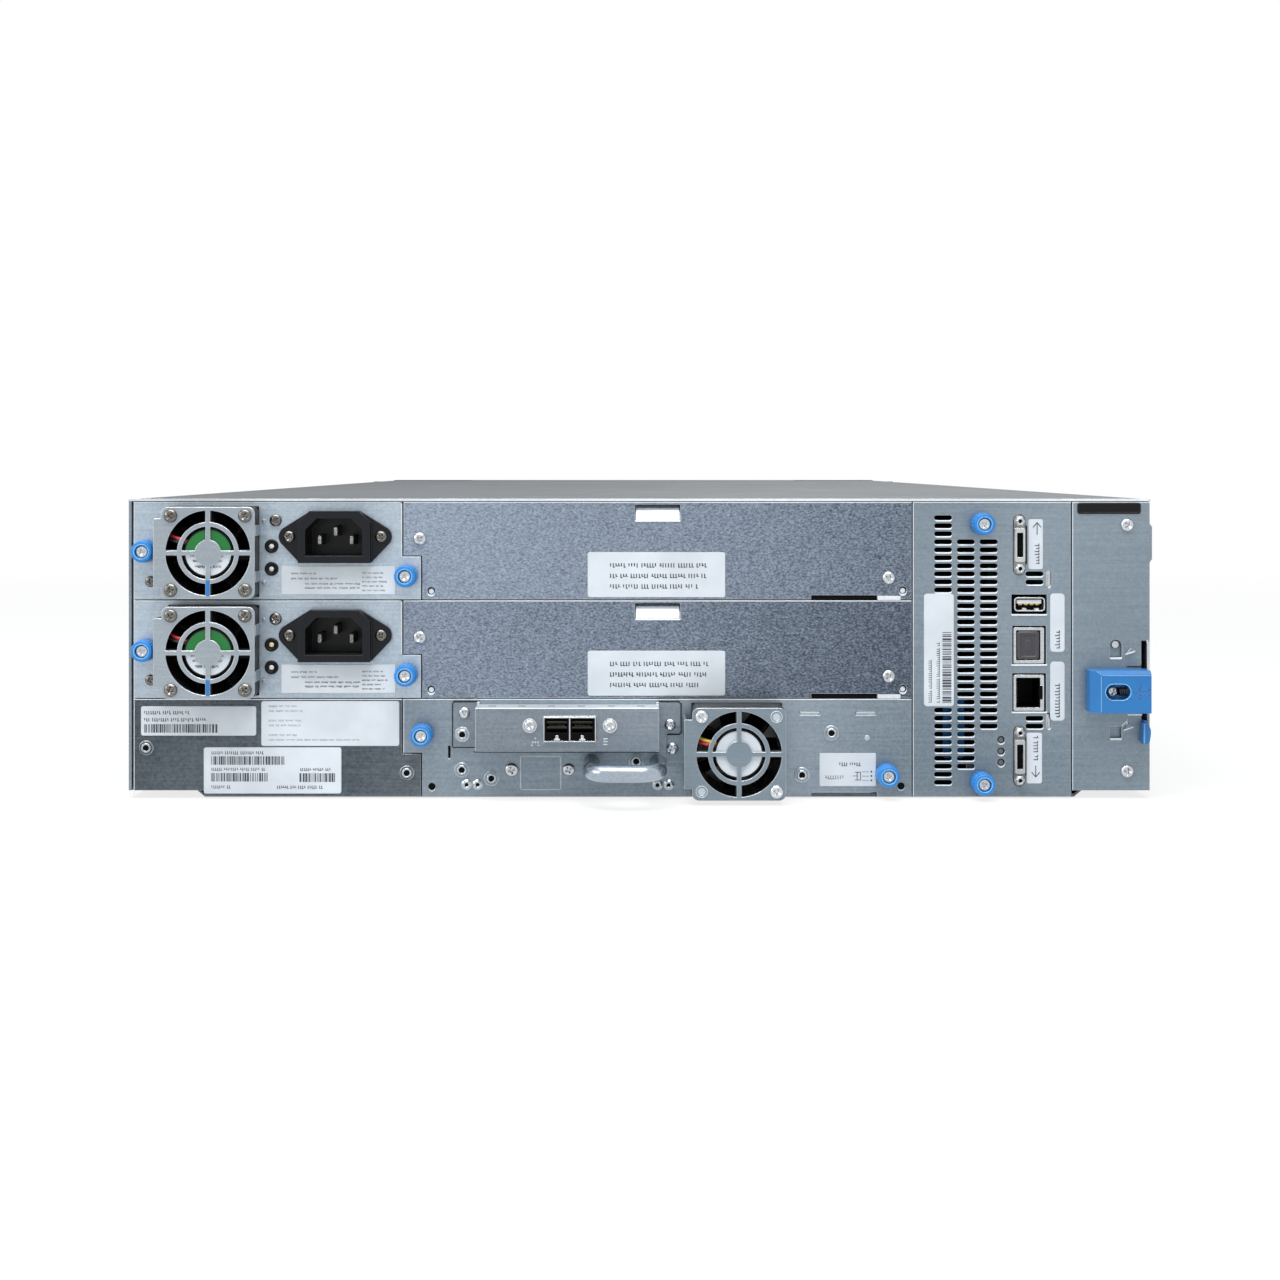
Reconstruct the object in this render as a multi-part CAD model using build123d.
from build123d import *
import os

# A data tape library for a 19-inch rack, three rack units high, with its rear face towards -Y.
# X runs to the right as seen from the rear, Z is up, and the origin is the centre of the base.

# Chassis
body_width = 446.0
body_height = 130.4
body_depth = 850.0
sheet = 1.2
inner_sheet = 0.8
clearance = 0.3
running_fit = 0.05
cut_overrun = 3.0
foot_step = 3.0
foot_step_width = 33.0
foot_slope = 3.6

# Rear plates, in columns from the left and in rows from the base
seam = 0.6
side_margin = 2.2
psu_plate_width = 117.2
controller_width = 69.0
panel_width = 33.8
panel_side_gap = 0.2
drive_plate_width = (body_width - side_margin - psu_plate_width - controller_width - panel_width
                     - panel_side_gap - 3 * seam)
bay_rows = 3
plate_gap = 0.5
plate_top_gap = 1.5
plate_margin = 0.4
row_pitch = (body_height - plate_margin - plate_top_gap + plate_gap) / bay_rows
plate_height = row_pitch - plate_gap
tab_width = 8.2
tab_height = 18.5
side_flange = 12.5
bay_flange = 17.0
divider_lip = 3.0
divider_offset = 1.5
row_flange = 1.6
screw_tab_width = 12.0
screw_tab_height = 14.0
bay_depth = 235.0

# Blank covers of the empty bays
cover_screw_left_inset = 7.1
cover_screw_left_height = 26.4
cover_screw_right_inset = 10.0
cover_screw_right_height = 9.4
cover_hole_radius = 1.7
cover_hole_shares = ((0.0546, 0.087), (0.983, 0.094))
cover_notch_inset = 15.0
cover_notch_width = 28.8
cover_notch_height = 1.8
flap_inset = 101.1
flap_width = 19.8
flap_drop = 1.1
flap_height = 6.9
flap_depth = 3.0
bush_radius = 3.0
bush_hole_radius = 1.6
bush_proud = 0.8
power_bush_shares = ((0.044, 0.499), (0.951, 0.242))

# Captive thumbscrews
thumb_radius = 4.9
thumb_length = 9.0
thumb_grip = 5.6
thumb_collar_radius = 4.7
thumb_recess_radius = 2.6
thumb_recess = 1.2
shank_radius = 1.95
shank_reach = 4.2
hole_radius = shank_radius + running_fit

# Small pan-head screws that hold fixed plates
pan_radius = 2.9
pan_height = 1.8
pan_shank_radius = 1.45

# Power supplies
psu_case_left = 12.3
psu_case_right = 2.0
psu_depth = 186.0
psu_wall = 0.6
psu_screw_left_inset = 5.8
psu_screw_left_height = 21.2
psu_screw_right_inset = 6.0
psu_screw_right_height = 10.5
psu_fan_inset = 35.0
psu_fan_height = 20.8
psu_fan_proud = 11.0
connector_length = 60.0
connector_thickness = 8.0
connector_reach = 2.5

# Cooling fans and the guards in front of them
fan_size = 39.4
fan_depth = 28.0
fan_corner = 2.0
fan_bore_radius = 18.6
fan_screw_pitch = 32.0
fan_screw_radius = 1.6
fan_blade_count = 7
fan_blade_twist = 35.0
fan_blade_share = 0.5
fan_hub_radius = 10.5
fan_tip_gap = 0.6
fan_hub_recess = 1.5
fan_axle_radius = 1.5
fan_strut = 3.0
guard_width = 40.2
guard_height = 39.6
guard_sheet = 1.0
guard_corner = 3.0
guard_open_radius = 18.3
guard_ring_outer = 13.3
guard_ring_inner = 11.4
guard_hub_radius = 5.7
guard_spoke = 2.0
guard_leg_height = 29.6
guard_leg_gap = 2.4
guard_foot = 8.0
guard_foot_height = 12.0

# Mains inlet
inlet_inset = 88.2
inlet_height = 27.4
inlet_screw_spacing = 40.0
inlet_ear_radius = 4.6
inlet_flange_height = 22.6
inlet_flange = 1.5
inlet_body_proud = 3.6
inlet_mouth_width = 25.0
inlet_mouth_height = 16.3
inlet_mouth_chamfer = 5.0
inlet_mouth_depth = 16.0
inlet_wall = 1.4
inlet_pin_width = 2.0
inlet_pin_height = 4.2
inlet_pin_spread = 7.0
inlet_pin_recess = 4.8
inlet_pin_drop = 1.4
inlet_earth_rise = 2.4

# Drive sled
sled_end_gap = 5.0
sled_depth = bay_depth - sled_end_gap
sled_screw_left_inset = 8.5
sled_screw_left_height = 27.5
sled_screw_right_inset = 11.1
sled_screw_right_height = 10.0
sled_fan_inset = 145.5
sled_fan_height = 21.0
sled_fan_proud = 16.0
sled_wall = 1.0
sled_lance_width = 9.0
sled_lance_height = 1.5
sled_window_width = 17.1
sled_window_height = 14.2
sled_window_level = 10.3
sled_window_share = 0.27
sled_lance_shares = ((0.8, 0.856), (0.91, 0.856))
sled_bush_shares = ((0.115, 0.273), (0.173, 0.186), (0.458, 0.362), (0.842, 0.652), (0.784, 0.221))
handle_radius = 3.6
handle_width = 36.1
handle_reach = 32.0
handle_bend = 9.0
handle_inset = 96.6
handle_height = 14.9
drive_width = 146.0
drive_height = 40.6
drive_setback = 25.0
drive_depth = sled_depth - drive_setback
drive_slot_width = 104.0
drive_slot_height = 24.0
drive_slot_depth = 90.0

# Interface bracket and its ports on the sled
bracket_inset = 32.3
bracket_width = 79.1
bracket_height = 18.8
bracket_floor = 21.4
bracket_proud = 12.0
bracket_ear = 9.6
bracket_ear_overlap = 0.4
vent_slit_width = 3.2
vent_slit_pitch = 12.9
vent_slit_count = 6
port_width = 22.8
port_height = 11.3
port_inset = 61.6
port_floor = 25.5
port_proud = 1.5
port_mouth_width = 8.8
port_mouth_height = 5.4
port_mouth_depth = 8.0
port_wall = 1.1
port_latch_height = 3.0
port_latch_depth = 2.0

# Controller
controller_depth = 160.0
vent_length = 7.9
vent_height = 2.2
vent_pitch = 3.5
vent_top = 121.6
vent_first_column = 13.2
vent_column_pitch = 9.95
vent_rows = ((0, 34), (3, 32), (3, 27))
controller_screw_inset = 29.6
controller_screw_drop = 9.4
controller_screw_rise = 6.5
port_column_inset = 50.8
usb_width = 15.4
usb_height = 8.6
usb_level = 83.8
usb_mouth_depth = 9.0
jack_width = 14.6
jack_height = 16.8
jack_levels = (45.3, 66.0)
jack_mouth_width = 10.0
jack_mouth_height = 12.9
jack_mouth_depth = 12.0
jack_wall = 1.2
jack_notch_width = 1.6
jack_notch_height = 6.0
cap_proud = 0.4
expansion_inset = 46.5
expansion_length = 26.5
expansion_width = 5.4
expansion_slot_length = 10.6
expansion_slot_width = 2.6
expansion_slot_depth = 3.5
expansion_levels = (17.5, 109.8)
jackscrew_spacing = 20.7
jackscrew_radius = 2.0
expansion_proud = 1.2
pair_inset = 53.1
pair_levels = (30.6, 34.0, 93.5, 97.1)
tick_inset = 59.4
tick_levels = (32.6, 94.6)
tick_width = 2.3
light_inset = 38.5
light_radius = 1.7
light_levels = (14.8, 19.7, 24.7)
port_depth = 15.0
board_thickness = 1.6
board_chip_shares = ((0.3, 0.2, 0.12), (0.55, 0.35, 0.2), (0.35, 0.62, 0.14), (0.7, 0.7, 0.1))
chip_height = 2.4
tray_inset = 6.0
tray_rail = 8.0

# Right-hand panel with the magazine latch
latch_left = 6.0
latch_width = 25.6
latch_height = 18.3
latch_level = 35.0
latch_proud = 10.0
latch_bevel = 3.6
latch_top_bevel = 1.6
latch_slot_left = 5.8
latch_slot_length = 10.9
latch_slot_radius = 3.5
latch_slot_depth = 4.0
latch_travel = 3.5
latch_key_inset = 16.0
latch_key_width = 6.0
latch_key_height = 7.0
latch_flange = 2.0
latch_flange_thickness = 1.5
latch_screw_inset = 9.4
latch_screw_radius = 1.6
latch_screw_head_radius = 2.5
latch_screw_head_height = 2.4
latch_spring_radius = 1.6
latch_spring_wire = 0.25
latch_spring_turns = 4
panel_window_width = 5.1
panel_window_height = 7.7
panel_window_left = 16.5
panel_window_level = 58.0
panel_square = 5.0
panel_square_level = 22.8
edge_slot_width = 2.7
edge_slot_height = 44.8
edge_slot_level = 20.6
edge_slot_inset = 1.0
lever_head_width = 4.8
lever_height = 9.6
lever_proud = 5.0
lever_depth = 14.0
lever_flange = 2.0
lever_flange_thickness = 1.5
panel_screw_inset = 23.9
panel_screw_rise = 8.4
panel_screw_drop = 10.0

# Magazines, their cartridges and the mail slot
cartridge_length = 105.4
cartridge_width = 102.0
cartridge_height = 21.5
cartridge_corner = 2.0
cartridge_notch = 4.0
slot_pitch = 23.0
first_slot = 12.6
column_pitch = 110.0
column_count = 4
magazine_body_width = 112.0
magazine_wall = 1.2
magazine_back = 2.0
magazine_inset = 1.0
slot_wall = 2.4
magazine_level = 4.6
magazine_top_gap = 3.2
magazine_height = body_height - magazine_level - magazine_top_gap
row_count = int((magazine_level + magazine_height - first_slot - cartridge_height) // slot_pitch) + 1
bezel_depth = 25.0
bezel_wall = 3.0
bezel_recess = 1.0
magazine_face_thickness = 4.0
magazine_face_wall = 2.0
finger_width = 40.0
finger_height = 16.0
finger_depth = 12.0
finger_wall = 1.5
finger_level = 20.0
guide_width = 4.0
guide_lip = 8.0

# Robot
aisle_width = 208.0
rail_height = 7.0
rail_width = 9.0
rail_level = 3.0
rail_groove = 4.0
rail_groove_height = 3.2
post_radius = 3.0
lift_rear_gap = 8.0
lift_front_gap = 12.0
lift_end_width = 14.0
lift_screw_offset = 60.0
carriage_length = 120.0
carriage_thickness = 5.0
carriage_gap = 5.0
turn_radius = 12.0
turntable_rim = 4.0
picker_length = 126.0
picker_width = 110.0
picker_floor = 1.6
picker_wall = 1.6
picker_height = 25.0
picker_level = 10.4
gripper_length = 20.0
gripper_height = 14.0
gripper_width = 60.0
gripper_inset = 8.0
jaw_reach = 12.0
jaw_thickness = 3.0

# Front bezel, rack ears and operator panel
rack_width = 482.6
ear_sheet = 2.5
ear_leg = 30.0
ear_leg_sheet = 1.5
rack_hole_spacing = 465.1
rack_hole_rise = 57.15
rack_hole_radius = 3.4
screen_width = 80.0
screen_height = 48.0
screen_drop = 22.4
screen_level = body_height - screen_drop - screen_height
screen_thickness = 4.5
screen_seat = 2.0
housing_margin = 8.0
housing_depth = 12.0
button_radius = 6.0
button_offset = 62.0
button_proud = 1.0
button_flange = 1.2
button_flange_thickness = 1.5
stem_radius = 2.5
stem_length = 12.0

# Places worked out from the sizes above
left_x = -body_width / 2
right_x = body_width / 2
rear_y = -body_depth / 2
front_y = body_depth / 2
plate_y = rear_y + sheet
flange_y = plate_y + sheet
top_z = body_height - sheet
wall_x = (left_x + sheet, right_x - sheet)
psu_x = (left_x + side_margin, left_x + side_margin + psu_plate_width)
drive_x = (psu_x[1] + seam, psu_x[1] + seam + drive_plate_width)
controller_x = (drive_x[1] + seam, drive_x[1] + seam + controller_width)
panel_x = (controller_x[1] + seam, right_x - panel_side_gap)
plate_top = plate_margin + 2 * row_pitch + plate_height
divider_x = (psu_x[1] + seam / 2 - divider_offset, drive_x[1] + seam / 2)
flange_x = (divider_x[0] - inner_sheet / 2, drive_x[0] + bay_flange)
flange_2_x = (drive_x[1] - bay_flange, divider_x[1] + divider_lip)
bay_y = rear_y + bay_depth
magazine_x = left_x + sheet + magazine_inset
magazine_rear_y = front_y - column_count * column_pitch
latch_x = (panel_x[0] + latch_left, panel_x[0] + latch_left + latch_width)
latch_z = (foot_step + latch_level, foot_step + latch_level + latch_height)
lever_x = (panel_x[1] - edge_slot_inset - edge_slot_width + clearance,
           panel_x[1] - edge_slot_inset - clearance)
face_y = front_y + bezel_depth


# Building blocks
def block(x_span, y_span, z_span):
    """A rectangular solid between pairs of limits along X, Y and Z."""
    (x0, x1), (y0, y1), (z0, z1) = x_span, y_span, z_span
    return Pos((x0 + x1) / 2, (y0 + y1) / 2, (z0 + z1) / 2) * Box(x1 - x0, y1 - y0, z1 - z0)


def drawn(sketch, y_near, y_far):
    """A drawing seen from the rear, given thickness between two places along Y."""
    return extrude(Plane.XZ.offset(-y_far) * sketch, amount=y_far - y_near)


def area(x0, x1, z0, z1):
    """A rectangle in the rear drawing."""
    return Pos((x0 + x1) / 2, (z0 + z1) / 2) * Rectangle(x1 - x0, z1 - z0)


def around(x, z, width, height):
    """A rectangle in the rear drawing, about its centre."""
    return Pos(x, z) * Rectangle(width, height)


def disc(x, z, radius):
    """A circle in the rear drawing."""
    return Pos(x, z) * Circle(radius)


def rod(x, z, radius, y_near, y_far):
    """A round bar along Y."""
    return drawn(disc(x, z, radius), y_near, y_far)


def post(x, y, radius, z0, z1):
    """A round bar along Z."""
    return Pos(x, y, z0) * extrude(Circle(radius), amount=z1 - z0)


def save(name, *solids):
    """Write one node, with its separate solids side by side."""
    shape = solids[0] if len(solids) == 1 else Compound(children=list(solids))
    export_step(shape, os.path.join("parts", name + ".step"))


def row_base(row):
    """Lower edge of the plates in one row of bays."""
    return plate_margin + row * row_pitch


def shelf_z(row):
    """Underside of the shelf below one row."""
    return row_base(row) - (row_pitch - plate_height) / 2 - inner_sheet / 2


def foot_outline(z_shift):
    """Outline of the stepped base sheet, raised by a shift."""
    step_x = right_x - foot_step_width
    return [(-right_x + sheet, foot_step + z_shift), (-step_x - foot_slope, foot_step + z_shift),
            (-step_x, z_shift), (step_x, z_shift),
            (step_x + foot_slope, foot_step + z_shift), (right_x - sheet, foot_step + z_shift)]


# Chassis
def base_pan():
    """Stepped base sheet, with the two rails that guide the magazines."""
    outline = Polygon(*(foot_outline(0) + foot_outline(sheet)[::-1]), align=None)
    pan = drawn(outline, plate_y, front_y)
    inner_x = magazine_x + magazine_body_width + clearance
    for side in (-1, 1):
        rail_x = sorted((side * -inner_x, side * -(inner_x - guide_width)))
        lip_x = sorted((side * -inner_x, side * (-inner_x - inner_sheet)))
        rail_z = magazine_level - clearance
        pan += block(rail_x, (magazine_rear_y, front_y), (sheet, rail_z))
        pan += block(lip_x, (magazine_rear_y, front_y), (sheet, guide_lip))
    return pan


def side_wall(side):
    """One side of the chassis."""
    x_span = sorted((side * right_x, side * wall_x[1]))
    y_start = rear_y if side < 0 else plate_y
    return block(x_span, (y_start, front_y), (foot_step, top_z))


def top_cover():
    """Flat lid with a rounded rear edge."""
    lid = block((left_x, right_x), (rear_y, front_y), (top_z, body_height))
    rear_edge = lid.edges().filter_by(Axis.X).group_by(Axis.Z)[-1].sort_by(Axis.Y)[0]
    return fillet(rear_edge, sheet * 0.8)


def thumb_places():
    """Places of every captive thumbscrew, by the module that carries it."""
    places = {}
    for row, name in ((2, "psu_upper"), (1, "psu_lower")):
        left = (psu_x[0] + psu_screw_left_inset, row_base(row) + psu_screw_left_height)
        right = (psu_x[1] + tab_width - psu_screw_right_inset, row_base(row) + psu_screw_right_height)
        places[name] = (left, right)
    places["sled"] = ((drive_x[0] + sled_screw_left_inset, row_base(0) + sled_screw_left_height),
                      (drive_x[1] - sled_screw_right_inset, row_base(0) + sled_screw_right_height))
    column = controller_x[0] + controller_screw_inset
    places["controller"] = ((column, plate_top - controller_screw_drop),
                            (column, row_base(0) + controller_screw_rise))
    return places


def thumb_holes():
    """Holes for the thumbscrews of all modules."""
    return [disc(x, z, hole_radius) for pair in thumb_places().values() for x, z in pair]


def cover_screw_places(row):
    """The two screws of a drive bay cover."""
    return ((drive_x[0] + cover_screw_left_inset, row_base(row) + cover_screw_left_height),
            (drive_x[1] - cover_screw_right_inset, row_base(row) + cover_screw_right_height))


def panel_screw_places():
    """The two screws of the right-hand panel."""
    column = panel_x[0] + panel_screw_inset
    return ((column, foot_step + panel_screw_rise), (column, plate_top - panel_screw_drop))


def fixed_screw_places():
    """All pan-head screws of the plates that stay on the chassis."""
    return (*cover_screw_places(1), *cover_screw_places(2), *panel_screw_places())


def rear_frame():
    """Flanges, dividers and shelves that form the bays behind the rear plates."""
    low, high = foot_step + sheet, top_z
    flat = area(wall_x[0], wall_x[0] + side_flange, low, high)
    flat += area(*flange_x, sheet, high) + area(*flange_2_x, sheet, high)
    seam_x = (panel_x[0] - seam - row_flange, panel_x[0])
    flat += area(*seam_x, sheet, high)
    flat += area(divider_x[1], wall_x[1], high - row_flange, high)
    flat += area(divider_x[1], seam_x[1], sheet, sheet + row_flange)
    flat += area(seam_x[0], wall_x[1], low, low + row_flange)
    for x, z in (*thumb_places()["controller"], *panel_screw_places()):
        foot = sheet if x < panel_x[0] else low
        reach = (foot, foot + screw_tab_height) if z < body_height / 2 else (high - screw_tab_height, high)
        flat += area(x - screw_tab_width / 2, x + screw_tab_width / 2, *reach)
    flat -= thumb_holes()
    flat -= [disc(x, z, pan_shank_radius + running_fit) for x, z in fixed_screw_places()]
    frame = drawn(flat, plate_y, flange_y)
    for x in divider_x:
        frame += block((x - inner_sheet / 2, x + inner_sheet / 2), (plate_y, bay_y), (sheet, top_z))
    for row in (1, 2):
        z_span = (shelf_z(row), shelf_z(row) + inner_sheet)
        frame += block((divider_x[0], divider_x[1]), (plate_y, bay_y), z_span)
        frame += block((wall_x[0], divider_x[0]), (plate_y, rear_y + psu_depth), z_span)
    return frame


def screw_y(x, z):
    """A pan-head screw driven towards +Y, its head seated on a rear plate."""
    head = rod(x, z, pan_radius, rear_y - pan_height, rear_y)
    head = fillet(head.edges().group_by(Axis.Y)[0], pan_height / 2)
    return head + rod(x, z, pan_shank_radius, rear_y - pan_height / 2, rear_y + 2 * sheet)


def plate_blank(outline):
    """A rear plate cut from one sheet."""
    return drawn(outline, rear_y, plate_y)


def tabbed_outline(row):
    """Outline of a left-hand plate, with its screw tab at the lower right."""
    base = row_base(row)
    main = area(psu_x[0], psu_x[1], base, base + plate_height)
    return main + area(psu_x[1] - seam, psu_x[1] + tab_width, base, base + tab_height)


def notched_outline(row):
    """Outline of a drive bay plate, cut away for the neighbour's screw tab."""
    base = row_base(row)
    main = area(drive_x[0], drive_x[1], base, base + plate_height)
    return main - area(drive_x[0] - seam, drive_x[0] + tab_width, base - seam, base + tab_height + seam)


def power_bay_cover():
    """Plate over the lower left bay."""
    step_x = -right_x + foot_step_width
    relief = area(psu_x[0] - seam, step_x, 0, foot_step)
    corner = Polygon((step_x - foot_slope, foot_step), (step_x, 0), (step_x + seam, foot_step), align=None)
    plate = plate_blank(tabbed_outline(0) - relief - corner)
    return plate + bush_ring(power_bush_places())


def power_bush_places():
    """Threaded bushes drawn out of the lower left plate."""
    width = psu_plate_width + tab_width
    return [(psu_x[0] + u * width, row_base(0) + v * plate_height) for u, v in power_bush_shares]


def bush_ring(places):
    """Low rings drawn out of a plate round threaded holes."""
    rings = Part()
    for x, z in places:
        rings += rod(x, z, bush_radius, rear_y - bush_proud, rear_y) - rod(
            x, z, bush_hole_radius, rear_y - bush_proud - cut_overrun, rear_y + cut_overrun)
    return rings


def bay_cover(row):
    """Blank cover over an empty drive bay, with its pull flap near the top."""
    base = row_base(row)
    flat = notched_outline(row)
    flat -= [disc(x, z, pan_shank_radius + running_fit) for x, z in cover_screw_places(row)]
    flat -= [disc(drive_x[0] + u * drive_plate_width, base + v * plate_height, cover_hole_radius)
             for u, v in cover_hole_shares]
    flap_x = drive_x[0] + flap_inset
    flap_z = base + plate_height - flap_drop
    flat -= area(flap_x, flap_x + flap_width, flap_z - flap_height, flap_z)
    notch_x = drive_x[1] - cover_notch_inset
    flat -= area(notch_x - cover_notch_width, notch_x, base - seam, base + cover_notch_height)
    plate = plate_blank(flat)
    profile = Polygon((rear_y, flap_z - flap_height), (plate_y, flap_z - flap_height),
                      (plate_y + flap_depth, flap_z), (rear_y + flap_depth, flap_z), align=None)
    flap = extrude(Plane.YZ.offset(flap_x) * profile, amount=flap_width)
    return plate + flap


def side_panel():
    """Right-hand rear panel, with windows and the slots of the latch and its lever."""
    step_x = right_x - foot_step_width
    flat = area(panel_x[0], panel_x[1], foot_step, plate_top)
    window_x = panel_x[0] + panel_window_left
    half = panel_window_width / 2
    window_z = foot_step + panel_window_level
    arch_z = window_z + panel_window_height - half
    flat -= area(window_x, window_x + panel_window_width, window_z, arch_z) + disc(window_x + half, arch_z, half)
    square_z = foot_step + panel_square_level
    flat -= area(window_x, window_x + panel_square, square_z, square_z + panel_square)
    slot_z = foot_step + edge_slot_level
    flat -= area(lever_x[0] - clearance, lever_x[1] + clearance, slot_z, slot_z + edge_slot_height)
    key_x = latch_x[0] + latch_key_inset
    key_z = latch_z[0] + (latch_height - latch_key_height) / 2
    flat -= area(key_x - latch_travel - clearance, key_x + latch_key_width + clearance,
                 key_z - clearance, key_z + latch_key_height + clearance)
    flat -= [disc(x, z, pan_shank_radius + running_fit) for x, z in panel_screw_places()]
    return plate_blank(flat)


# Parts that several modules share
def thumbscrew(x, z):
    """Captive thumbscrew: a round grip with a collar, and a shank through plate and flange."""
    seat = rear_y - clearance
    grip = rod(x, z, thumb_radius, seat - thumb_grip, seat)
    grip = fillet(grip.edges().group_by(Axis.Y)[0], thumb_recess / 2)
    collar = rod(x, z, thumb_collar_radius, seat - thumb_length, seat - thumb_grip)
    collar = fillet(collar.edges().group_by(Axis.Y)[0], thumb_recess / 2)
    recess = rod(x, z, thumb_recess_radius, seat - thumb_length - cut_overrun,
                 seat - thumb_length + thumb_recess)
    return grip + collar + rod(x, z, shank_radius, seat - thumb_grip, rear_y + shank_reach) - recess


def fan_frame(x, z, near):
    """Square fan housing with its fixed hub on struts at the outer side."""
    outline = Pos(x, z) * RectangleRounded(fan_size, fan_size, fan_corner)
    holes = [disc(x + i * fan_screw_pitch / 2, z + j * fan_screw_pitch / 2, fan_screw_radius)
             for i in (-1, 1) for j in (-1, 1)]
    frame = drawn(outline - disc(x, z, fan_bore_radius) - holes, near, near + fan_depth)
    hub = disc(x, z, fan_hub_radius)
    for turn in (0, 90):
        hub += Pos(x, z) * Rot(0, 0, turn) * Rectangle(fan_size, fan_strut)
    frame += drawn(hub, near, near + fan_hub_recess)
    return frame - rod(x, z, fan_axle_radius + running_fit, near + fan_hub_recess / 2,
                       near + fan_hub_recess + cut_overrun)


def fan_rotor(x, z, near):
    """Rotor with twisted blades on a short axle that runs in the fixed hub."""
    hub_near = near + fan_hub_recess + clearance
    hub_far = near + fan_depth - fan_hub_recess
    rotor = rod(x, z, fan_hub_radius, hub_near, hub_far)
    rotor += rod(x, z, fan_axle_radius, near + fan_hub_recess / 2 + running_fit, hub_near)
    tip = fan_bore_radius - fan_tip_gap
    chord = (hub_far - hub_near) * fan_blade_share
    blade_box = Box(tip - fan_hub_radius / 2, chord, fan_axle_radius)
    middle = (hub_near + hub_far) / 2
    reach = rod(x, z, tip, hub_near, hub_far)
    for index in range(fan_blade_count):
        turned = Rot(0, index * 360 / fan_blade_count, 0) * Pos((tip + fan_hub_radius / 2) / 2, 0, 0)
        blade = Pos(x, middle, z) * turned * Rot(fan_blade_twist, 0, 0) * blade_box
        rotor += blade & reach
    return rotor


def guard_grille(x, z):
    """Finger guard pattern: two open rings crossed by four spokes round a solid hub."""
    rings = disc(x, z, guard_open_radius) - disc(x, z, guard_ring_outer)
    rings += disc(x, z, guard_ring_inner) - disc(x, z, guard_hub_radius)
    for turn in (0, 90):
        rings -= Pos(x, z) * Rot(0, 0, turn) * Rectangle(3 * guard_open_radius, guard_spoke)
    return rings


def fan_guard(x, z, proud, foot):
    """Sheet guard in front of a fan, with a leg at its left that returns to the plate."""
    near = rear_y - proud
    left = x - guard_width / 2 - guard_leg_gap
    flat = Pos(x, z) * RectangleRounded(guard_width, guard_height, guard_corner)
    flat += area(left, x - guard_corner, z - guard_leg_height / 2, z + guard_leg_height / 2)
    flat -= guard_grille(x, z)
    flat -= [disc(x + i * fan_screw_pitch / 2, z + j * fan_screw_pitch / 2, fan_screw_radius)
             for i in (-1, 1) for j in (-1, 1)]
    guard = drawn(flat, near, near + guard_sheet)
    leg_z = (z - guard_leg_height / 2, z + guard_leg_height / 2)
    guard += block((left - guard_sheet, left), (near, rear_y), leg_z)
    if foot:
        foot_z = (z - guard_foot_height / 2, z + guard_foot_height / 2)
        guard += block((left - guard_foot, left), (rear_y - guard_sheet, rear_y), foot_z)
    return guard


def fan_cutout(x, z):
    """Square hole that a fan housing passes through."""
    return around(x, z, fan_size + 2 * running_fit, fan_size + 2 * running_fit)


# Power supplies
def psu_fan_place(row):
    """Axis of a power supply's fan."""
    return psu_x[0] + psu_fan_inset, row_base(row) + psu_fan_height


def inlet_place(row):
    """Middle of a power supply's mains inlet."""
    return psu_x[0] + inlet_inset, row_base(row) + inlet_height


def mouth_outline(x, z, extra):
    """Inlet mouth, with its two upper corners cut off; extra widens it all round."""
    mouth = around(x, z, inlet_mouth_width + 2 * extra, inlet_mouth_height + 2 * extra)
    upper = mouth.vertices().group_by(Axis.Y)[-1]
    return chamfer(upper, inlet_mouth_chamfer)


def psu_case(row):
    """Rear plate and folded case of one power supply."""
    fan_x, fan_z = psu_fan_place(row)
    x, z = inlet_place(row)
    name = "psu_upper" if row == 2 else "psu_lower"
    flat = tabbed_outline(row)
    flat -= [fan_cutout(fan_x, fan_z), mouth_outline(x, z, inlet_wall + running_fit)]
    flat -= [disc(px, pz, hole_radius) for px, pz in thumb_places()[name]]
    plate = plate_blank(flat)
    x_span = (psu_x[0] + psu_case_left, psu_x[1] - psu_case_right)
    z_span = (shelf_z(row) + inner_sheet + clearance, shelf_z(row + 1) - clearance)
    y_end = rear_y + psu_depth
    outer = block(x_span, (plate_y, y_end), z_span)
    inner = block((x_span[0] + psu_wall, x_span[1] - psu_wall), (plate_y - cut_overrun, y_end - psu_wall),
                  (z_span[0] + psu_wall, z_span[1] - psu_wall))
    middle = (z_span[0] + z_span[1]) / 2
    tongue_x = (x_span[1] - psu_wall - connector_length, x_span[1] - psu_wall)
    tongue = block(tongue_x, (y_end - psu_wall, y_end + connector_reach),
                   (middle - connector_thickness / 2, middle + connector_thickness / 2))
    return plate + (outer - inner) + tongue


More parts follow.
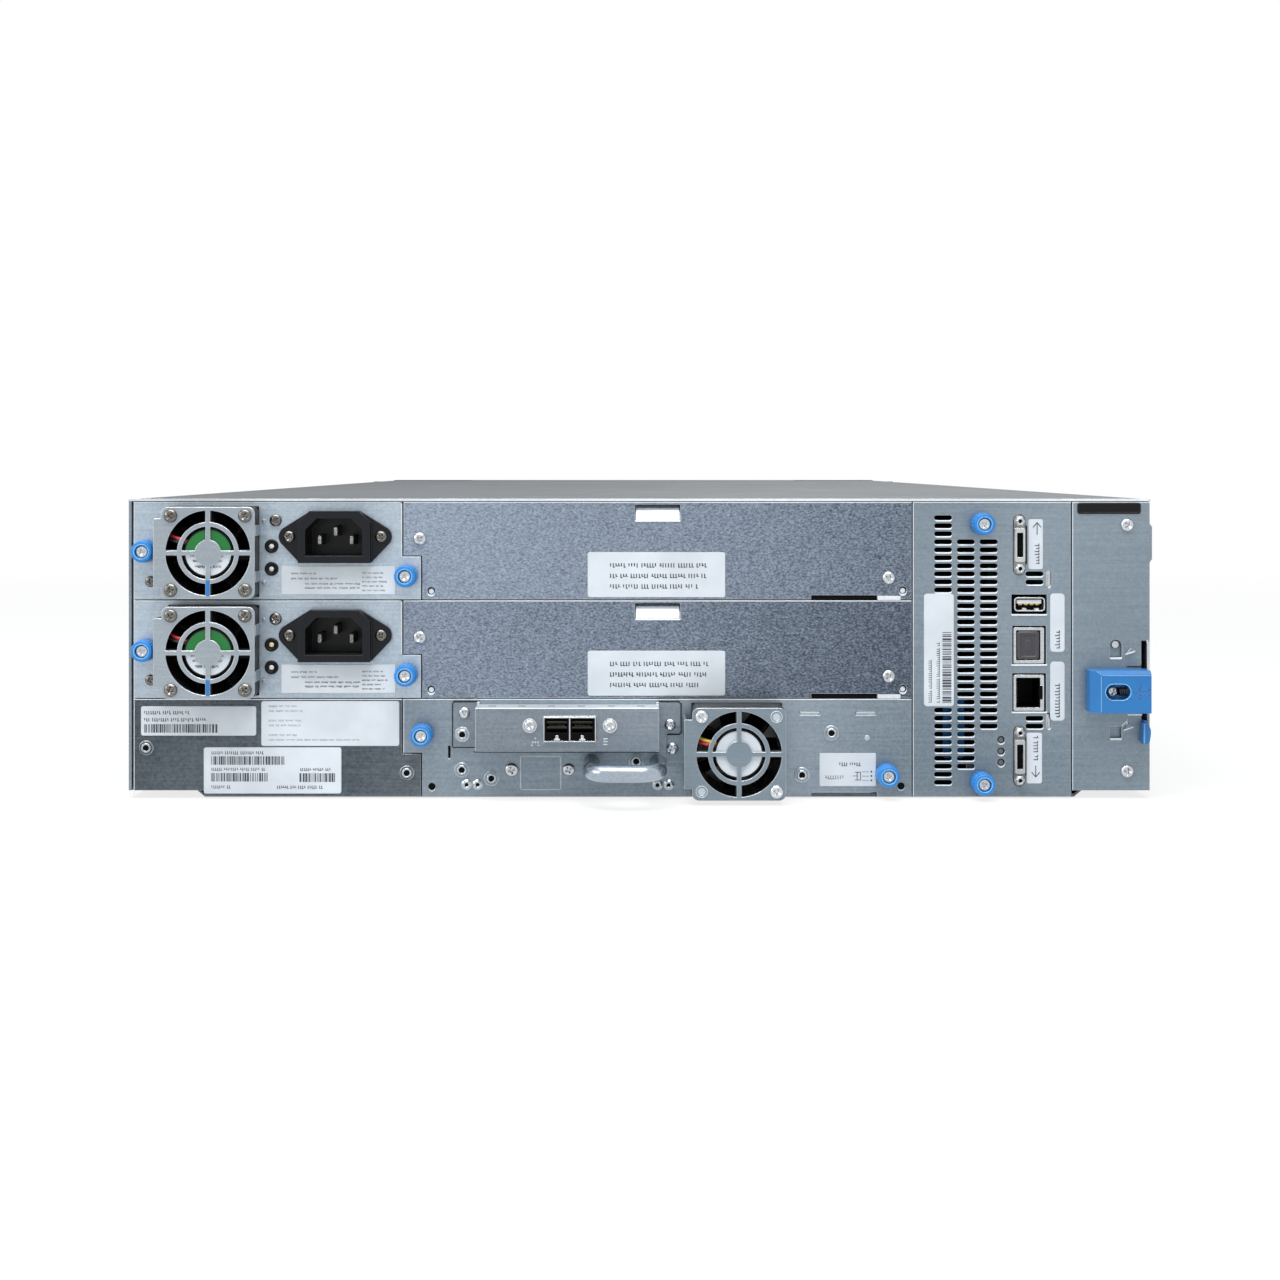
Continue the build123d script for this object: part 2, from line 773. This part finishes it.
def mains_inlet(row):
    """Three-pin appliance inlet with its rhombic flange."""
    x, z = inlet_place(row)
    ears = [disc(x + side * inlet_screw_spacing / 2, z, inlet_ear_radius) for side in (-1, 1)]
    body = mouth_outline(x, z, (inlet_flange_height - inlet_mouth_height) / 2)
    flange = make_hull((ears[0] + ears[1] + body).edges())
    rim = rear_y - inlet_flange - inlet_body_proud
    solid = drawn(flange, rear_y - inlet_flange, rear_y) + drawn(body, rim, rear_y)
    solid += drawn(mouth_outline(x, z, inlet_wall), rear_y, rim + inlet_mouth_depth + inlet_wall)
    solid -= drawn(mouth_outline(x, z, 0), rim - cut_overrun, rim + inlet_mouth_depth)
    solid -= [rod(x + side * inlet_screw_spacing / 2, z, pan_shank_radius, rear_y - inlet_flange
                  - cut_overrun, rear_y + cut_overrun) for side in (-1, 1)]
    pins = [(x - inlet_pin_spread, z - inlet_pin_drop), (x + inlet_pin_spread, z - inlet_pin_drop),
            (x, z + inlet_earth_rise)]
    for pin_x, pin_z in pins:
        pin = around(pin_x, pin_z, inlet_pin_width, inlet_pin_height)
        solid += drawn(pin, rim + inlet_pin_recess, rim + inlet_mouth_depth + inlet_wall / 2)
    return solid


def write_psu(row, name):
    """All nodes of one power supply."""
    fan_x, fan_z = psu_fan_place(row)
    near = rear_y - psu_fan_proud + guard_sheet
    save(name + "_case", psu_case(row))
    save(name + "_fan_guard", fan_guard(fan_x, fan_z, psu_fan_proud, False))
    save(name + "_fan_frame", fan_frame(fan_x, fan_z, near))
    save(name + "_fan_rotor", fan_rotor(fan_x, fan_z, near))
    save(name + "_inlet", mains_inlet(row))
    left, right = thumb_places()[name]
    save(name + "_screw_left", thumbscrew(*left))
    save(name + "_screw_right", thumbscrew(*right))


# Drive sled
def sled_x(inset):
    """A place along the sled plate, from its left edge."""
    return drive_x[0] + inset


def sled_case():
    """Rear plate of the sled with the two hollow rails that carry the drive."""
    fan_x, fan_z = sled_x(sled_fan_inset), row_base(0) + sled_fan_height
    flat = notched_outline(0)
    flat -= fan_cutout(fan_x, fan_z)
    flat -= [disc(x, z, hole_radius) for x, z in thumb_places()["sled"]]
    flat -= [around(sled_x(u * drive_plate_width), row_base(0) + v * plate_height,
                    sled_lance_width, sled_lance_height) for u, v in sled_lance_shares]
    flat -= around(sled_x(sled_window_share * drive_plate_width), row_base(0) + sled_window_level,
                   sled_window_width, sled_window_height)
    flat -= area(drive_x[1] - cover_notch_inset - cover_notch_width, drive_x[1] - cover_notch_inset,
                 row_base(0) - seam, row_base(0) + cover_notch_height)
    case = plate_blank(flat)
    case += bush_ring([(sled_x(u * drive_plate_width), row_base(0) + v * plate_height)
                       for u, v in sled_bush_shares])
    z_span = (sheet + clearance, shelf_z(1) - clearance)
    left_rail = (flange_x[1] + clearance, -drive_width / 2)
    right_rail = (drive_width / 2, flange_2_x[0] - clearance)
    for x_span in (left_rail, right_rail):
        rail = block(x_span, (plate_y, rear_y + sled_depth), z_span)
        hollow = block((x_span[0] + sled_wall, x_span[1] - sled_wall),
                       (plate_y, rear_y + sled_depth + cut_overrun),
                       (z_span[0] + sled_wall, z_span[1] - sled_wall))
        case += rail - hollow
    window_back = block((sled_x(sled_window_share * drive_plate_width) - sled_window_width, sled_x(
        sled_window_share * drive_plate_width) + sled_window_width), (plate_y, plate_y + sled_wall),
        (z_span[0], row_base(0) + sled_window_level + sled_window_height))
    return case + window_back


def sled_handle():
    """Bent round bar that pulls the sled out."""
    middle = sled_x(handle_inset)
    half = handle_width / 2 - handle_radius
    level = row_base(0) + handle_height
    reach = rear_y - handle_reach + handle_radius
    path = FilletPolyline((middle - half, rear_y, level), (middle - half, reach, level),
                          (middle + half, reach, level), (middle + half, rear_y, level),
                          radius=handle_bend)
    section = Plane(origin=(middle - half, rear_y, level), z_dir=(0, -1, 0)) * Circle(handle_radius)
    return sweep(section, path=path)


def interface_bracket():
    """Raised bracket round the host ports, with slits in its upper side and two ears."""
    x0, z0 = sled_x(bracket_inset), row_base(0) + bracket_floor
    x_span, z_span = (x0, x0 + bracket_width), (z0, z0 + bracket_height)
    near = rear_y - bracket_proud
    hat = block(x_span, (near, rear_y), z_span)
    hat -= block((x_span[0] + guard_sheet, x_span[1] - guard_sheet),
                 (near + guard_sheet, rear_y + cut_overrun),
                 (z_span[0] + guard_sheet, z_span[1] - guard_sheet))
    middle, level = port_centre()
    hat -= drawn(around(middle, level, port_width + 2 * running_fit, port_height + 2 * running_fit),
                 near - cut_overrun, near + 2 * guard_sheet)
    for index in range(vent_slit_count):
        slit_x = x0 + bracket_ear_overlap + vent_slit_pitch * (index + 0.5)
        hat -= block((slit_x - vent_slit_width / 2, slit_x + vent_slit_width / 2),
                     (near + 2 * guard_sheet, rear_y - 2 * guard_sheet),
                     (z_span[1] - 2 * guard_sheet, z_span[1] + cut_overrun))
    ear_y = (rear_y - guard_sheet, rear_y)
    left = block((x0 - bracket_ear - guard_sheet, x0 + guard_sheet), ear_y, (z_span[0], z_span[1] + guard_sheet))
    right = block((x_span[1] - guard_sheet, x_span[1] + bracket_ear), ear_y,
                  ((z_span[0] + z_span[1]) / 2, z_span[1] + guard_sheet))
    return hat + left + right


def port_centre():
    """Middle of the double host port."""
    return sled_x(port_inset) + port_width / 2, row_base(0) + port_floor + port_height / 2


def host_ports():
    """Double host port cage with two mouths and their latch windows."""
    middle, level = port_centre()
    near = rear_y - bracket_proud - port_proud
    cage = drawn(around(middle, level, port_width, port_height), near, rear_y - 2 * guard_sheet)
    cage += drawn(around(middle, level, port_width / 2, port_height / 2), rear_y - 3 * guard_sheet, rear_y)
    for side in (-1, 1):
        x = middle + side * port_width / 4
        top = level + port_height / 2 - port_wall
        mouth = area(x - port_mouth_width / 2, x + port_mouth_width / 2, top - port_mouth_height, top)
        cage -= drawn(mouth, near - cut_overrun, near + port_mouth_depth)
        low = level - port_height / 2 + port_wall
        latch = area(x - port_mouth_width / 2, x + port_mouth_width / 2, low, low + port_latch_height)
        cage -= drawn(latch, near - cut_overrun, near + port_latch_depth)
    return cage


def tape_drive():
    """Half-height tape drive with its cartridge mouth towards the robot."""
    y_span = (rear_y + sled_depth - drive_depth, rear_y + sled_depth)
    z0 = sheet + clearance
    body = block((-drive_width / 2, drive_width / 2), y_span, (z0, z0 + drive_height))
    mouth_z = (first_slot - magazine_wall, first_slot - magazine_wall + drive_slot_height)
    return body - block((-drive_slot_width / 2, drive_slot_width / 2),
                        (y_span[1] - drive_slot_depth, y_span[1] + cut_overrun), mouth_z)


def write_sled():
    """All nodes of the drive sled."""
    fan_x, fan_z = sled_x(sled_fan_inset), row_base(0) + sled_fan_height
    near = rear_y - sled_fan_proud + guard_sheet
    save("sled_case", sled_case())
    save("sled_handle", sled_handle())
    save("sled_fan_guard", fan_guard(fan_x, fan_z, sled_fan_proud, True))
    save("sled_fan_frame", fan_frame(fan_x, fan_z, near))
    save("sled_fan_rotor", fan_rotor(fan_x, fan_z, near))
    save("interface_bracket", interface_bracket())
    save("host_ports", host_ports())
    save("tape_drive", tape_drive())
    left, right = thumb_places()["sled"]
    save("sled_screw_left", thumbscrew(*left))
    save("sled_screw_right", thumbscrew(*right))


# Controller
def controller_column(inset):
    """A place along the controller plate, from its left edge."""
    return controller_x[0] + inset


def vents():
    """Rows of air slots in three columns, and the short pairs beside the ports."""
    slots = []
    for column, (first, last) in enumerate(vent_rows):
        x = controller_column(vent_first_column + column * vent_column_pitch)
        for row in range(first, last):
            z = row_base(0) + vent_top - row * vent_pitch
            slots.append(Pos(x, z) * SlotOverall(vent_length, vent_height))
    for level in pair_levels:
        place = Pos(controller_column(pair_inset), row_base(0) + level)
        slots.append(place * SlotOverall(vent_length, vent_height))
    for level in tick_levels:
        place = Pos(controller_column(tick_inset), row_base(0) + level) * Rot(0, 0, 90)
        slots.append(place * SlotOverall(vent_length, tick_width))
    return slots


def expansion_outline(level):
    """Outline of one upright expansion port, jackscrews included."""
    place = Pos(controller_column(expansion_inset), row_base(0) + level) * Rot(0, 0, 90)
    return place * SlotOverall(expansion_length, expansion_width)


def controller_tray():
    """Controller plate with its side sheet and the two rails that hold the board."""
    flat = area(*controller_x, row_base(0), plate_top)
    flat -= vents()
    flat -= [expansion_outline(level) for level in expansion_levels]
    column = controller_column(port_column_inset)
    fit = 2 * running_fit
    flat -= around(column, row_base(0) + usb_level, usb_width + fit, usb_height + fit)
    flat -= [around(column, row_base(0) + level, jack_width + fit, jack_height + fit)
             for level in jack_levels]
    flat -= [disc(controller_column(light_inset), row_base(0) + level, light_radius)
             for level in light_levels]
    flat -= [disc(x, z, hole_radius) for x, z in thumb_places()["controller"]]
    x_far = controller_x[1] - tray_inset
    side_z = (sheet + screw_tab_height + clearance, top_z - screw_tab_height - clearance)
    side = block((x_far - inner_sheet, x_far), (plate_y, rear_y + controller_depth), side_z)
    tray = plate_blank(flat) + side
    for z in (side_z[0], side_z[1] - inner_sheet):
        tray += block((x_far - tray_rail, x_far), (plate_y, rear_y + controller_depth),
                      (z, z + inner_sheet))
    return tray


def board_x():
    """Faces of the upright controller board."""
    face = controller_column(port_column_inset) + usb_width / 2
    return face, face + board_thickness


def controller_board():
    """Upright circuit board between the tray's rails, with a row of chips and capacitors."""
    z_span = (sheet + screw_tab_height + clearance + inner_sheet,
              top_z - screw_tab_height - clearance - inner_sheet)
    y_span = (plate_y + clearance, rear_y + controller_depth)
    board = block(board_x(), y_span, z_span)
    height = z_span[1] - z_span[0]
    length = y_span[1] - y_span[0]
    for y_share, z_share, size_share in board_chip_shares:
        y, z = y_span[0] + y_share * length, z_span[0] + z_share * height
        size = size_share * height
        board += block((board_x()[0] - chip_height, board_x()[0]), (y, y + size), (z, z + size))
    return board


def socket_cage(level, width, height):
    """Metal shell of a port, from just behind the plate's face to the board's parts."""
    return drawn(around(controller_column(port_column_inset), row_base(0) + level, width, height),
                 rear_y + clearance, rear_y + port_depth)


def network_jack(level, capped):
    """Upright network jack; a capped one is closed by a dust cap."""
    column = controller_column(port_column_inset)
    z = row_base(0) + level
    jack = socket_cage(level, jack_width, jack_height)
    right = column + jack_width / 2 - jack_wall - jack_notch_width
    mouth = area(right - jack_mouth_width, right, z - jack_mouth_height / 2, z + jack_mouth_height / 2)
    half_notch = jack_notch_height / 2
    notch = area(right - seam, right + jack_notch_width, z - half_notch, z + half_notch)
    depth = cap_proud if capped else jack_mouth_depth
    return jack - drawn(mouth + notch, rear_y, rear_y + clearance + depth)


def controller_ports():
    """Ports of the controller: a service socket, two jacks and two expansion ports."""
    column = controller_column(port_column_inset)
    usb = socket_cage(usb_level, usb_width, usb_height)
    usb -= drawn(around(column, row_base(0) + usb_level, usb_width - jack_wall, usb_height - jack_wall),
                 rear_y, rear_y + usb_mouth_depth)
    usb += drawn(around(column, row_base(0) + usb_level + jack_wall, usb_width - 2 * jack_wall, jack_wall),
                 rear_y + jack_wall, rear_y + usb_mouth_depth)
    ports = [usb, network_jack(jack_levels[0], False), network_jack(jack_levels[1], True)]
    for level in expansion_levels:
        port = extrude(Plane.XZ.offset(-rear_y - port_depth) * expansion_outline_inner(level),
                       amount=port_depth + expansion_proud)
        slot = Pos(controller_column(expansion_inset), row_base(0) + level) * Rectangle(
            expansion_slot_width, expansion_slot_length)
        port -= drawn(slot, rear_y - expansion_proud, rear_y + expansion_slot_depth)
        for side in (-1, 1):
            z = row_base(0) + level + side * jackscrew_spacing / 2
            port += rod(controller_column(expansion_inset), z, jackscrew_radius,
                        rear_y - 2 * expansion_proud, rear_y)
        ports.append(port)
    return ports


def expansion_outline_inner(level):
    """Outline of an expansion port's body, a running fit inside its cut-out."""
    place = Pos(controller_column(expansion_inset), row_base(0) + level) * Rot(0, 0, 90)
    return place * SlotOverall(expansion_length - 2 * running_fit, expansion_width - 2 * running_fit)


# Latch and lever on the right-hand panel
def latch_screw_place():
    """Axis of the screw that the latch slides along."""
    return latch_x[0] + latch_screw_inset, (latch_z[0] + latch_z[1]) / 2


def latch_slider():
    """Sliding latch with bevelled edges, its slot, and a key held behind the panel."""
    x, z = latch_screw_place()
    near, far = rear_y - latch_proud, rear_y - clearance
    body = block(latch_x, (near, far), latch_z)
    outer = body.edges().group_by(Axis.Y)[0]
    body = chamfer(outer.filter_by(Axis.X).sort_by(Axis.Z)[-1], latch_top_bevel)
    outer = body.edges().group_by(Axis.Y)[0]
    body = chamfer(outer.filter_by(Axis.Z).sort_by(Axis.X)[0], latch_bevel)
    slot_x = latch_x[0] + latch_slot_left + latch_slot_length / 2
    recess = Pos(slot_x, z) * SlotOverall(latch_slot_length, 2 * latch_slot_radius)
    body -= drawn(recess, near - cut_overrun, near + latch_slot_depth)
    inner_radius = latch_screw_radius + running_fit
    through = Pos(x + latch_travel / 2, z) * SlotOverall(latch_travel + 2 * inner_radius, 2 * inner_radius)
    body -= drawn(through, near, far + cut_overrun)
    key_x = (latch_x[0] + latch_key_inset, latch_x[0] + latch_key_inset + latch_key_width)
    key_z = z - latch_key_height / 2
    body += block(key_x, (far, plate_y + clearance), (key_z, key_z + latch_key_height))
    return body + block(key_x, (plate_y + clearance, plate_y + clearance + latch_flange_thickness),
                        (key_z - latch_flange, key_z + latch_key_height + latch_flange))


def latch_screw():
    """Shoulder screw that guides the latch."""
    x, z = latch_screw_place()
    ledge = rear_y - latch_proud + latch_slot_depth
    head_far = ledge - clearance / 2
    head = rod(x, z, latch_screw_head_radius, head_far - latch_screw_head_height, head_far)
    return head + rod(x, z, latch_screw_radius, head_far, rear_y)


def latch_spring():
    """Coil spring between the screw's head and the end of the latch's slot."""
    x, z = latch_screw_place()
    start = x + latch_screw_head_radius + latch_spring_wire
    end = latch_x[0] + latch_slot_left + latch_slot_length - 3 * latch_spring_wire - clearance
    y = rear_y - latch_proud + latch_slot_depth - latch_spring_radius - latch_spring_wire
    coil = Helix(pitch=(end - start) / latch_spring_turns, height=end - start, radius=latch_spring_radius,
                 center=(start, y, z), direction=(1, 0, 0))
    section = Plane(origin=coil @ 0, z_dir=coil % 0) * Circle(latch_spring_wire)
    return sweep(section, path=coil)


def lock_lever():
    """Small lever that slides up the slot at the panel's right edge."""
    z0 = foot_step + edge_slot_level + clearance
    middle = (lever_x[0] + lever_x[1]) / 2
    head_x = (middle - lever_head_width / 2, lever_x[1])
    lever = block(head_x, (rear_y - lever_proud, rear_y - clearance), (z0, z0 + lever_height))
    outer = lever.edges().group_by(Axis.Y)[0].filter_by(Axis.X)
    lever = chamfer(outer, lever_proud / 3)
    lever += block(lever_x, (rear_y - lever_proud / 2, plate_y + clearance + lever_depth),
                   (z0, z0 + lever_height))
    flange_x_span = (lever_x[0] - lever_flange, lever_x[1])
    lever += block(flange_x_span, (plate_y + clearance, plate_y + clearance + lever_flange_thickness),
                   (z0, z0 + lever_height))
    return lever


# Magazines
def side_span(side, near, far):
    """Limits along X of something at the left (-1) or right (1), given distances from the middle."""
    return tuple(sorted((side * near, side * far)))


def carrier(side, first, last, with_face):
    """Cartridge carrier over a run of columns, open towards the robot."""
    outer, inner = -magazine_x, -magazine_x - magazine_body_width
    y0 = magazine_rear_y + first * column_pitch
    y1 = magazine_rear_y + last * column_pitch - (0 if with_face else clearance)
    z_span = (magazine_level, magazine_level + magazine_height)
    body = block(side_span(side, outer - magazine_back, outer), (y0, y1), z_span)
    body += block(side_span(side, inner, outer), (y0, y1), (z_span[0], z_span[0] + magazine_wall))
    body += block(side_span(side, inner, outer), (y0, y1), (z_span[1] - inner_sheet, z_span[1]))
    for row in range(row_count):
        z = first_slot + row * slot_pitch
        body += block(side_span(side, inner, outer), (y0, y1), (z - magazine_wall, z))
    for column in range(first, last + 1):
        y = magazine_rear_y + column * column_pitch
        wall_y = (max(y0, y - slot_wall / 2), min(y1, y + slot_wall / 2))
        body += block(side_span(side, inner, outer), wall_y, z_span)
    return body + magazine_face(side) if with_face else body


def magazine_face(side):
    """Front of a magazine, flush in the bezel, with a finger pocket."""
    outer, inner = -magazine_x, -magazine_x - magazine_body_width
    far = face_y - bezel_recess
    z_span = (magazine_level, magazine_level + magazine_height)
    face = block(side_span(side, inner, outer), (front_y, far), z_span)
    face -= block(side_span(side, inner + magazine_face_wall, outer - magazine_face_wall),
                  (front_y - cut_overrun, far - magazine_face_thickness),
                  (z_span[0] + magazine_face_wall, z_span[1] - magazine_face_wall))
    middle = side * (inner + outer) / 2
    half, z0 = finger_width / 2, magazine_level + finger_level
    face += block((middle - half - finger_wall, middle + half + finger_wall),
                  (far - finger_depth - finger_wall, far),
                  (z0 - finger_wall, z0 + finger_height + finger_wall))
    return face - block((middle - half, middle + half), (far - finger_depth, far + cut_overrun),
                        (z0, z0 + finger_height))


def cartridges(side, first, last):
    """One data cartridge in each slot of a run of columns."""
    x_span = side_span(side, -magazine_x - magazine_back - cartridge_length, -magazine_x - magazine_back)
    shell = block(x_span, (-cartridge_width / 2, cartridge_width / 2), (0, cartridge_height))
    shell = chamfer(shell.edges().filter_by(Axis.Z), cartridge_corner)
    grip = side_span(side, -magazine_x - magazine_back - cartridge_length,
                     -magazine_x - magazine_back - cartridge_length + cartridge_notch)
    for end in (-1, 1):
        y = side_span(end, cartridge_width / 2 - cartridge_notch / 2, cartridge_width / 2 + cut_overrun)
        shell -= block((min(grip) + side_shift(side), max(grip) + side_shift(side)), y,
                       (cartridge_height / 3, 2 * cartridge_height / 3))
    copies = []
    for column in range(first, last):
        for row in range(row_count):
            y = magazine_rear_y + (column + 0.5) * column_pitch
            copies.append(Pos(0, y, first_slot + row * slot_pitch) * shell)
    return copies


def side_shift(side):
    """How far the robot's grip notches sit from a cartridge's inner end."""
    return side * 2 * cartridge_notch


# Robot
def rail_y():
    """Ends of the robot's lifting frame along Y."""
    return bay_y + lift_rear_gap, front_y - lift_front_gap


def post_places():
    """Corners of the lifting frame where the guide posts stand."""
    x = aisle_width / 2 - rail_width / 2
    y0, y1 = rail_y()
    return [(i * x, y) for i in (-1, 1) for y in (y0 + lift_end_width / 2, y1 - lift_end_width / 2)]


def lift_frame():
    """Rectangular frame that carries the robot up and down between the magazines."""
    y0, y1 = rail_y()
    half = aisle_width / 2
    z_span = (rail_level, rail_level + rail_height)
    frame = block((-half, half), (y0, y1), z_span)
    inner = half - rail_width
    inner_y = (y0 + lift_end_width, y1 - lift_end_width)
    frame -= block((-inner, inner), inner_y, (z_span[0] - cut_overrun, z_span[1] + cut_overrun))
    middle = (z_span[0] + z_span[1]) / 2
    frame -= block((-inner - rail_groove, inner + rail_groove), inner_y,
                   (middle - rail_groove_height / 2, middle + rail_groove_height / 2))
    bores = [post(x, y, post_radius + running_fit, z_span[0] - cut_overrun, z_span[1] + cut_overrun)
             for x, y in (*post_places(), lift_screw_place())]
    return frame - bores


def lift_screw_place():
    """Axis of the screw that raises the frame."""
    return lift_screw_offset, rail_y()[1] - lift_end_width / 2


def carriage_y():
    """Middle of the carriage at rest, close to the drives."""
    return rail_y()[0] + lift_end_width + carriage_gap + carriage_length / 2


def travel_carriage():
    """Carriage that runs in the frame's grooves and carries the turntable."""
    inner = aisle_width / 2 - rail_width
    middle = rail_level + rail_height / 2
    y_span = (carriage_y() - carriage_length / 2, carriage_y() + carriage_length / 2)
    plate = block((-inner + clearance, inner - clearance), y_span,
                  (middle - carriage_thickness / 2, middle + carriage_thickness / 2))
    tongue = rail_groove_height / 2 - clearance
    plate += block((-inner - rail_groove + clearance, inner + rail_groove - clearance), y_span,
                   (middle - tongue, middle + tongue))
    return plate - post(0, carriage_y(), turn_radius + running_fit, 0, rail_level + 2 * rail_height)


def picker():
    """Turntable tray that holds one cartridge between its side walls."""
    y = carriage_y()
    half_x, half_y = picker_width / 2, picker_length / 2
    z0 = picker_level
    tray = block((-half_x, half_x), (y - half_y, y + half_y), (z0, z0 + picker_floor))
    for side in (-1, 1):
        tray += block(side_span(side, half_x - picker_wall, half_x), (y - half_y, y + half_y),
                      (z0, z0 + picker_height))
    tray += block((-half_x, half_x), (y + half_y - picker_wall, y + half_y), (z0, z0 + picker_height))
    carriage_top = rail_level + rail_height / 2 + carriage_thickness / 2
    tray += post(0, y, turn_radius + turntable_rim, carriage_top + clearance, z0)
    return tray + post(0, y, turn_radius, carriage_top - carriage_thickness, z0)


def gripper():
    """Sliding block with two jaws that grip a cartridge by its notches."""
    y1 = carriage_y() + picker_length / 2 - picker_wall - gripper_inset
    z0 = picker_level + picker_floor + clearance
    z_span = (z0, z0 + gripper_height)
    block_y = (y1 - gripper_length, y1)
    body = block((-gripper_width / 2, gripper_width / 2), block_y, z_span)
    for side in (-1, 1):
        jaw = side_span(side, picker_width / 2 - picker_wall - clearance - jaw_thickness,
                        picker_width / 2 - picker_wall - clearance)
        arm = side_span(side, 0, max(abs(jaw[0]), abs(jaw[1])))
        body += block(arm, (y1 - jaw_thickness, y1), z_span)
        body += block(jaw, (y1 - gripper_length - jaw_reach, y1), z_span)
    return body


# Front
def front_bezel():
    """Front moulding round the two magazines, hollow behind its middle."""
    bezel = block((left_x, right_x), (front_y, face_y), (0, body_height))
    inner = -magazine_x - magazine_body_width - clearance
    opening_z = (magazine_level - clearance, magazine_level + magazine_height + clearance)
    for side in (-1, 1):
        bezel -= block(side_span(side, inner, -magazine_x + clearance),
                       (front_y - cut_overrun, face_y + cut_overrun), opening_z)
    bezel -= block((-inner + bezel_wall, inner - bezel_wall), (front_y - cut_overrun, face_y - bezel_wall),
                   (bezel_wall, body_height - bezel_wall))
    bezel -= block((-screen_width / 2 - clearance, screen_width / 2 + clearance),
                   (front_y, face_y + cut_overrun),
                   (screen_level - clearance, screen_level + screen_height + clearance))
    return bezel - rod(button_offset, button_level(), button_radius + clearance,
                       front_y, face_y + cut_overrun)


def button_level():
    """Height of the power button, level with the middle of the screen."""
    return screen_level + screen_height / 2


def display_housing():
    """Carrier of the touch screen and the power button behind the bezel."""
    far = face_y - bezel_wall
    x_span = (-screen_width / 2 - housing_margin, button_offset + button_radius + housing_margin)
    z_span = (screen_level - housing_margin, screen_level + screen_height + housing_margin)
    body = block(x_span, (far - housing_depth, far), z_span)
    body -= block((-screen_width / 2 - clearance, screen_width / 2 + clearance), (far - screen_seat, far),
                  (screen_level - clearance, screen_level + screen_height + clearance))
    well = button_radius + button_flange + clearance
    body -= rod(button_offset, button_level(), well, far - 2 * button_flange_thickness - 2 * clearance, far)
    return body - rod(button_offset, button_level(), stem_radius + running_fit,
                      far - housing_depth - cut_overrun, far)


def touch_screen():
    """Glass front of the operator display."""
    seat = face_y - bezel_wall - screen_seat
    return block((-screen_width / 2, screen_width / 2), (seat, seat + screen_thickness),
                 (screen_level, screen_level + screen_height))


def power_button():
    """Round push button with a flange behind the bezel and a guided stem."""
    wall_y = face_y - bezel_wall
    x, z = button_offset, button_level()
    flange_y_span = (wall_y - clearance - button_flange_thickness, wall_y - clearance)
    button = rod(x, z, button_radius, flange_y_span[0], face_y + button_proud)
    button = fillet(button.edges().group_by(Axis.Y)[-1], button_proud)
    button += rod(x, z, button_radius + button_flange, *flange_y_span)
    return button + rod(x, z, stem_radius, flange_y_span[0] - stem_length + clearance, flange_y_span[0])


def rack_ear(side):
    """Angle that fastens one side of the front to the rack."""
    flange = block(side_span(side, right_x, rack_width / 2), (front_y, front_y + ear_sheet),
                   (sheet, body_height - sheet))
    leg = block(side_span(side, right_x, right_x + ear_leg_sheet), (front_y - ear_leg, front_y),
                (sheet + foot_step, body_height - sheet))
    holes = [rod(side * rack_hole_spacing / 2, body_height / 2 + up * rack_hole_rise / 2, rack_hole_radius,
                 front_y - cut_overrun, front_y + ear_sheet + cut_overrun) for up in (-1, 1)]
    return flange + leg - holes


def backplane_board():
    """Board behind the power supplies that passes their output on."""
    near = rear_y + psu_depth + connector_reach + clearance
    x_span = (wall_x[0], divider_x[0] - inner_sheet / 2)
    return block(x_span, (near, near + board_thickness), (shelf_z(1), top_z))


def write_all():
    """Write every node of the library."""
    os.makedirs("parts", exist_ok=True)
    save("base_pan", base_pan())
    save("left_wall", side_wall(-1))
    save("right_wall", side_wall(1))
    save("top_cover", top_cover())
    save("rear_frame", rear_frame())
    save("power_bay_cover", power_bay_cover())
    save("bay_cover_lower", bay_cover(1))
    save("bay_cover_upper", bay_cover(2))
    save("side_panel", side_panel())
    save("fixed_screws", *[screw_y(x, z) for x, z in fixed_screw_places()], latch_screw())
    save("backplane_board", backplane_board())
    save("latch_slider", latch_slider())
    save("latch_spring", latch_spring())
    save("lock_lever", lock_lever())
    write_psu(2, "psu_upper")
    write_psu(1, "psu_lower")
    write_sled()
    save("controller_tray", controller_tray())
    save("controller_board", controller_board())
    save("controller_ports", *controller_ports())
    top, bottom = thumb_places()["controller"]
    save("controller_screw_top", thumbscrew(*top))
    save("controller_screw_bottom", thumbscrew(*bottom))
    save("magazine_right", carrier(1, 0, column_count, True))
    save("cartridges_right", *cartridges(1, 0, column_count))
    save("magazine_left", carrier(-1, 0, column_count - 1, False))
    save("cartridges_left", *cartridges(-1, 0, column_count - 1))
    save("mail_slot", carrier(-1, column_count - 1, column_count, True))
    save("cartridges_mail", *cartridges(-1, column_count - 1, column_count))
    posts = [post(x, y, post_radius, sheet, top_z) for x, y in post_places()]
    save("lift_posts", *posts)
    save("lift_frame", lift_frame())
    save("lift_screw", post(*lift_screw_place(), post_radius, sheet + clearance, top_z - clearance))
    save("travel_carriage", travel_carriage())
    save("picker", picker())
    save("gripper", gripper())
    save("front_bezel", front_bezel())
    save("rack_ears", rack_ear(-1), rack_ear(1))
    save("display_housing", display_housing())
    save("touch_screen", touch_screen())
    save("power_button", power_button())


write_all()
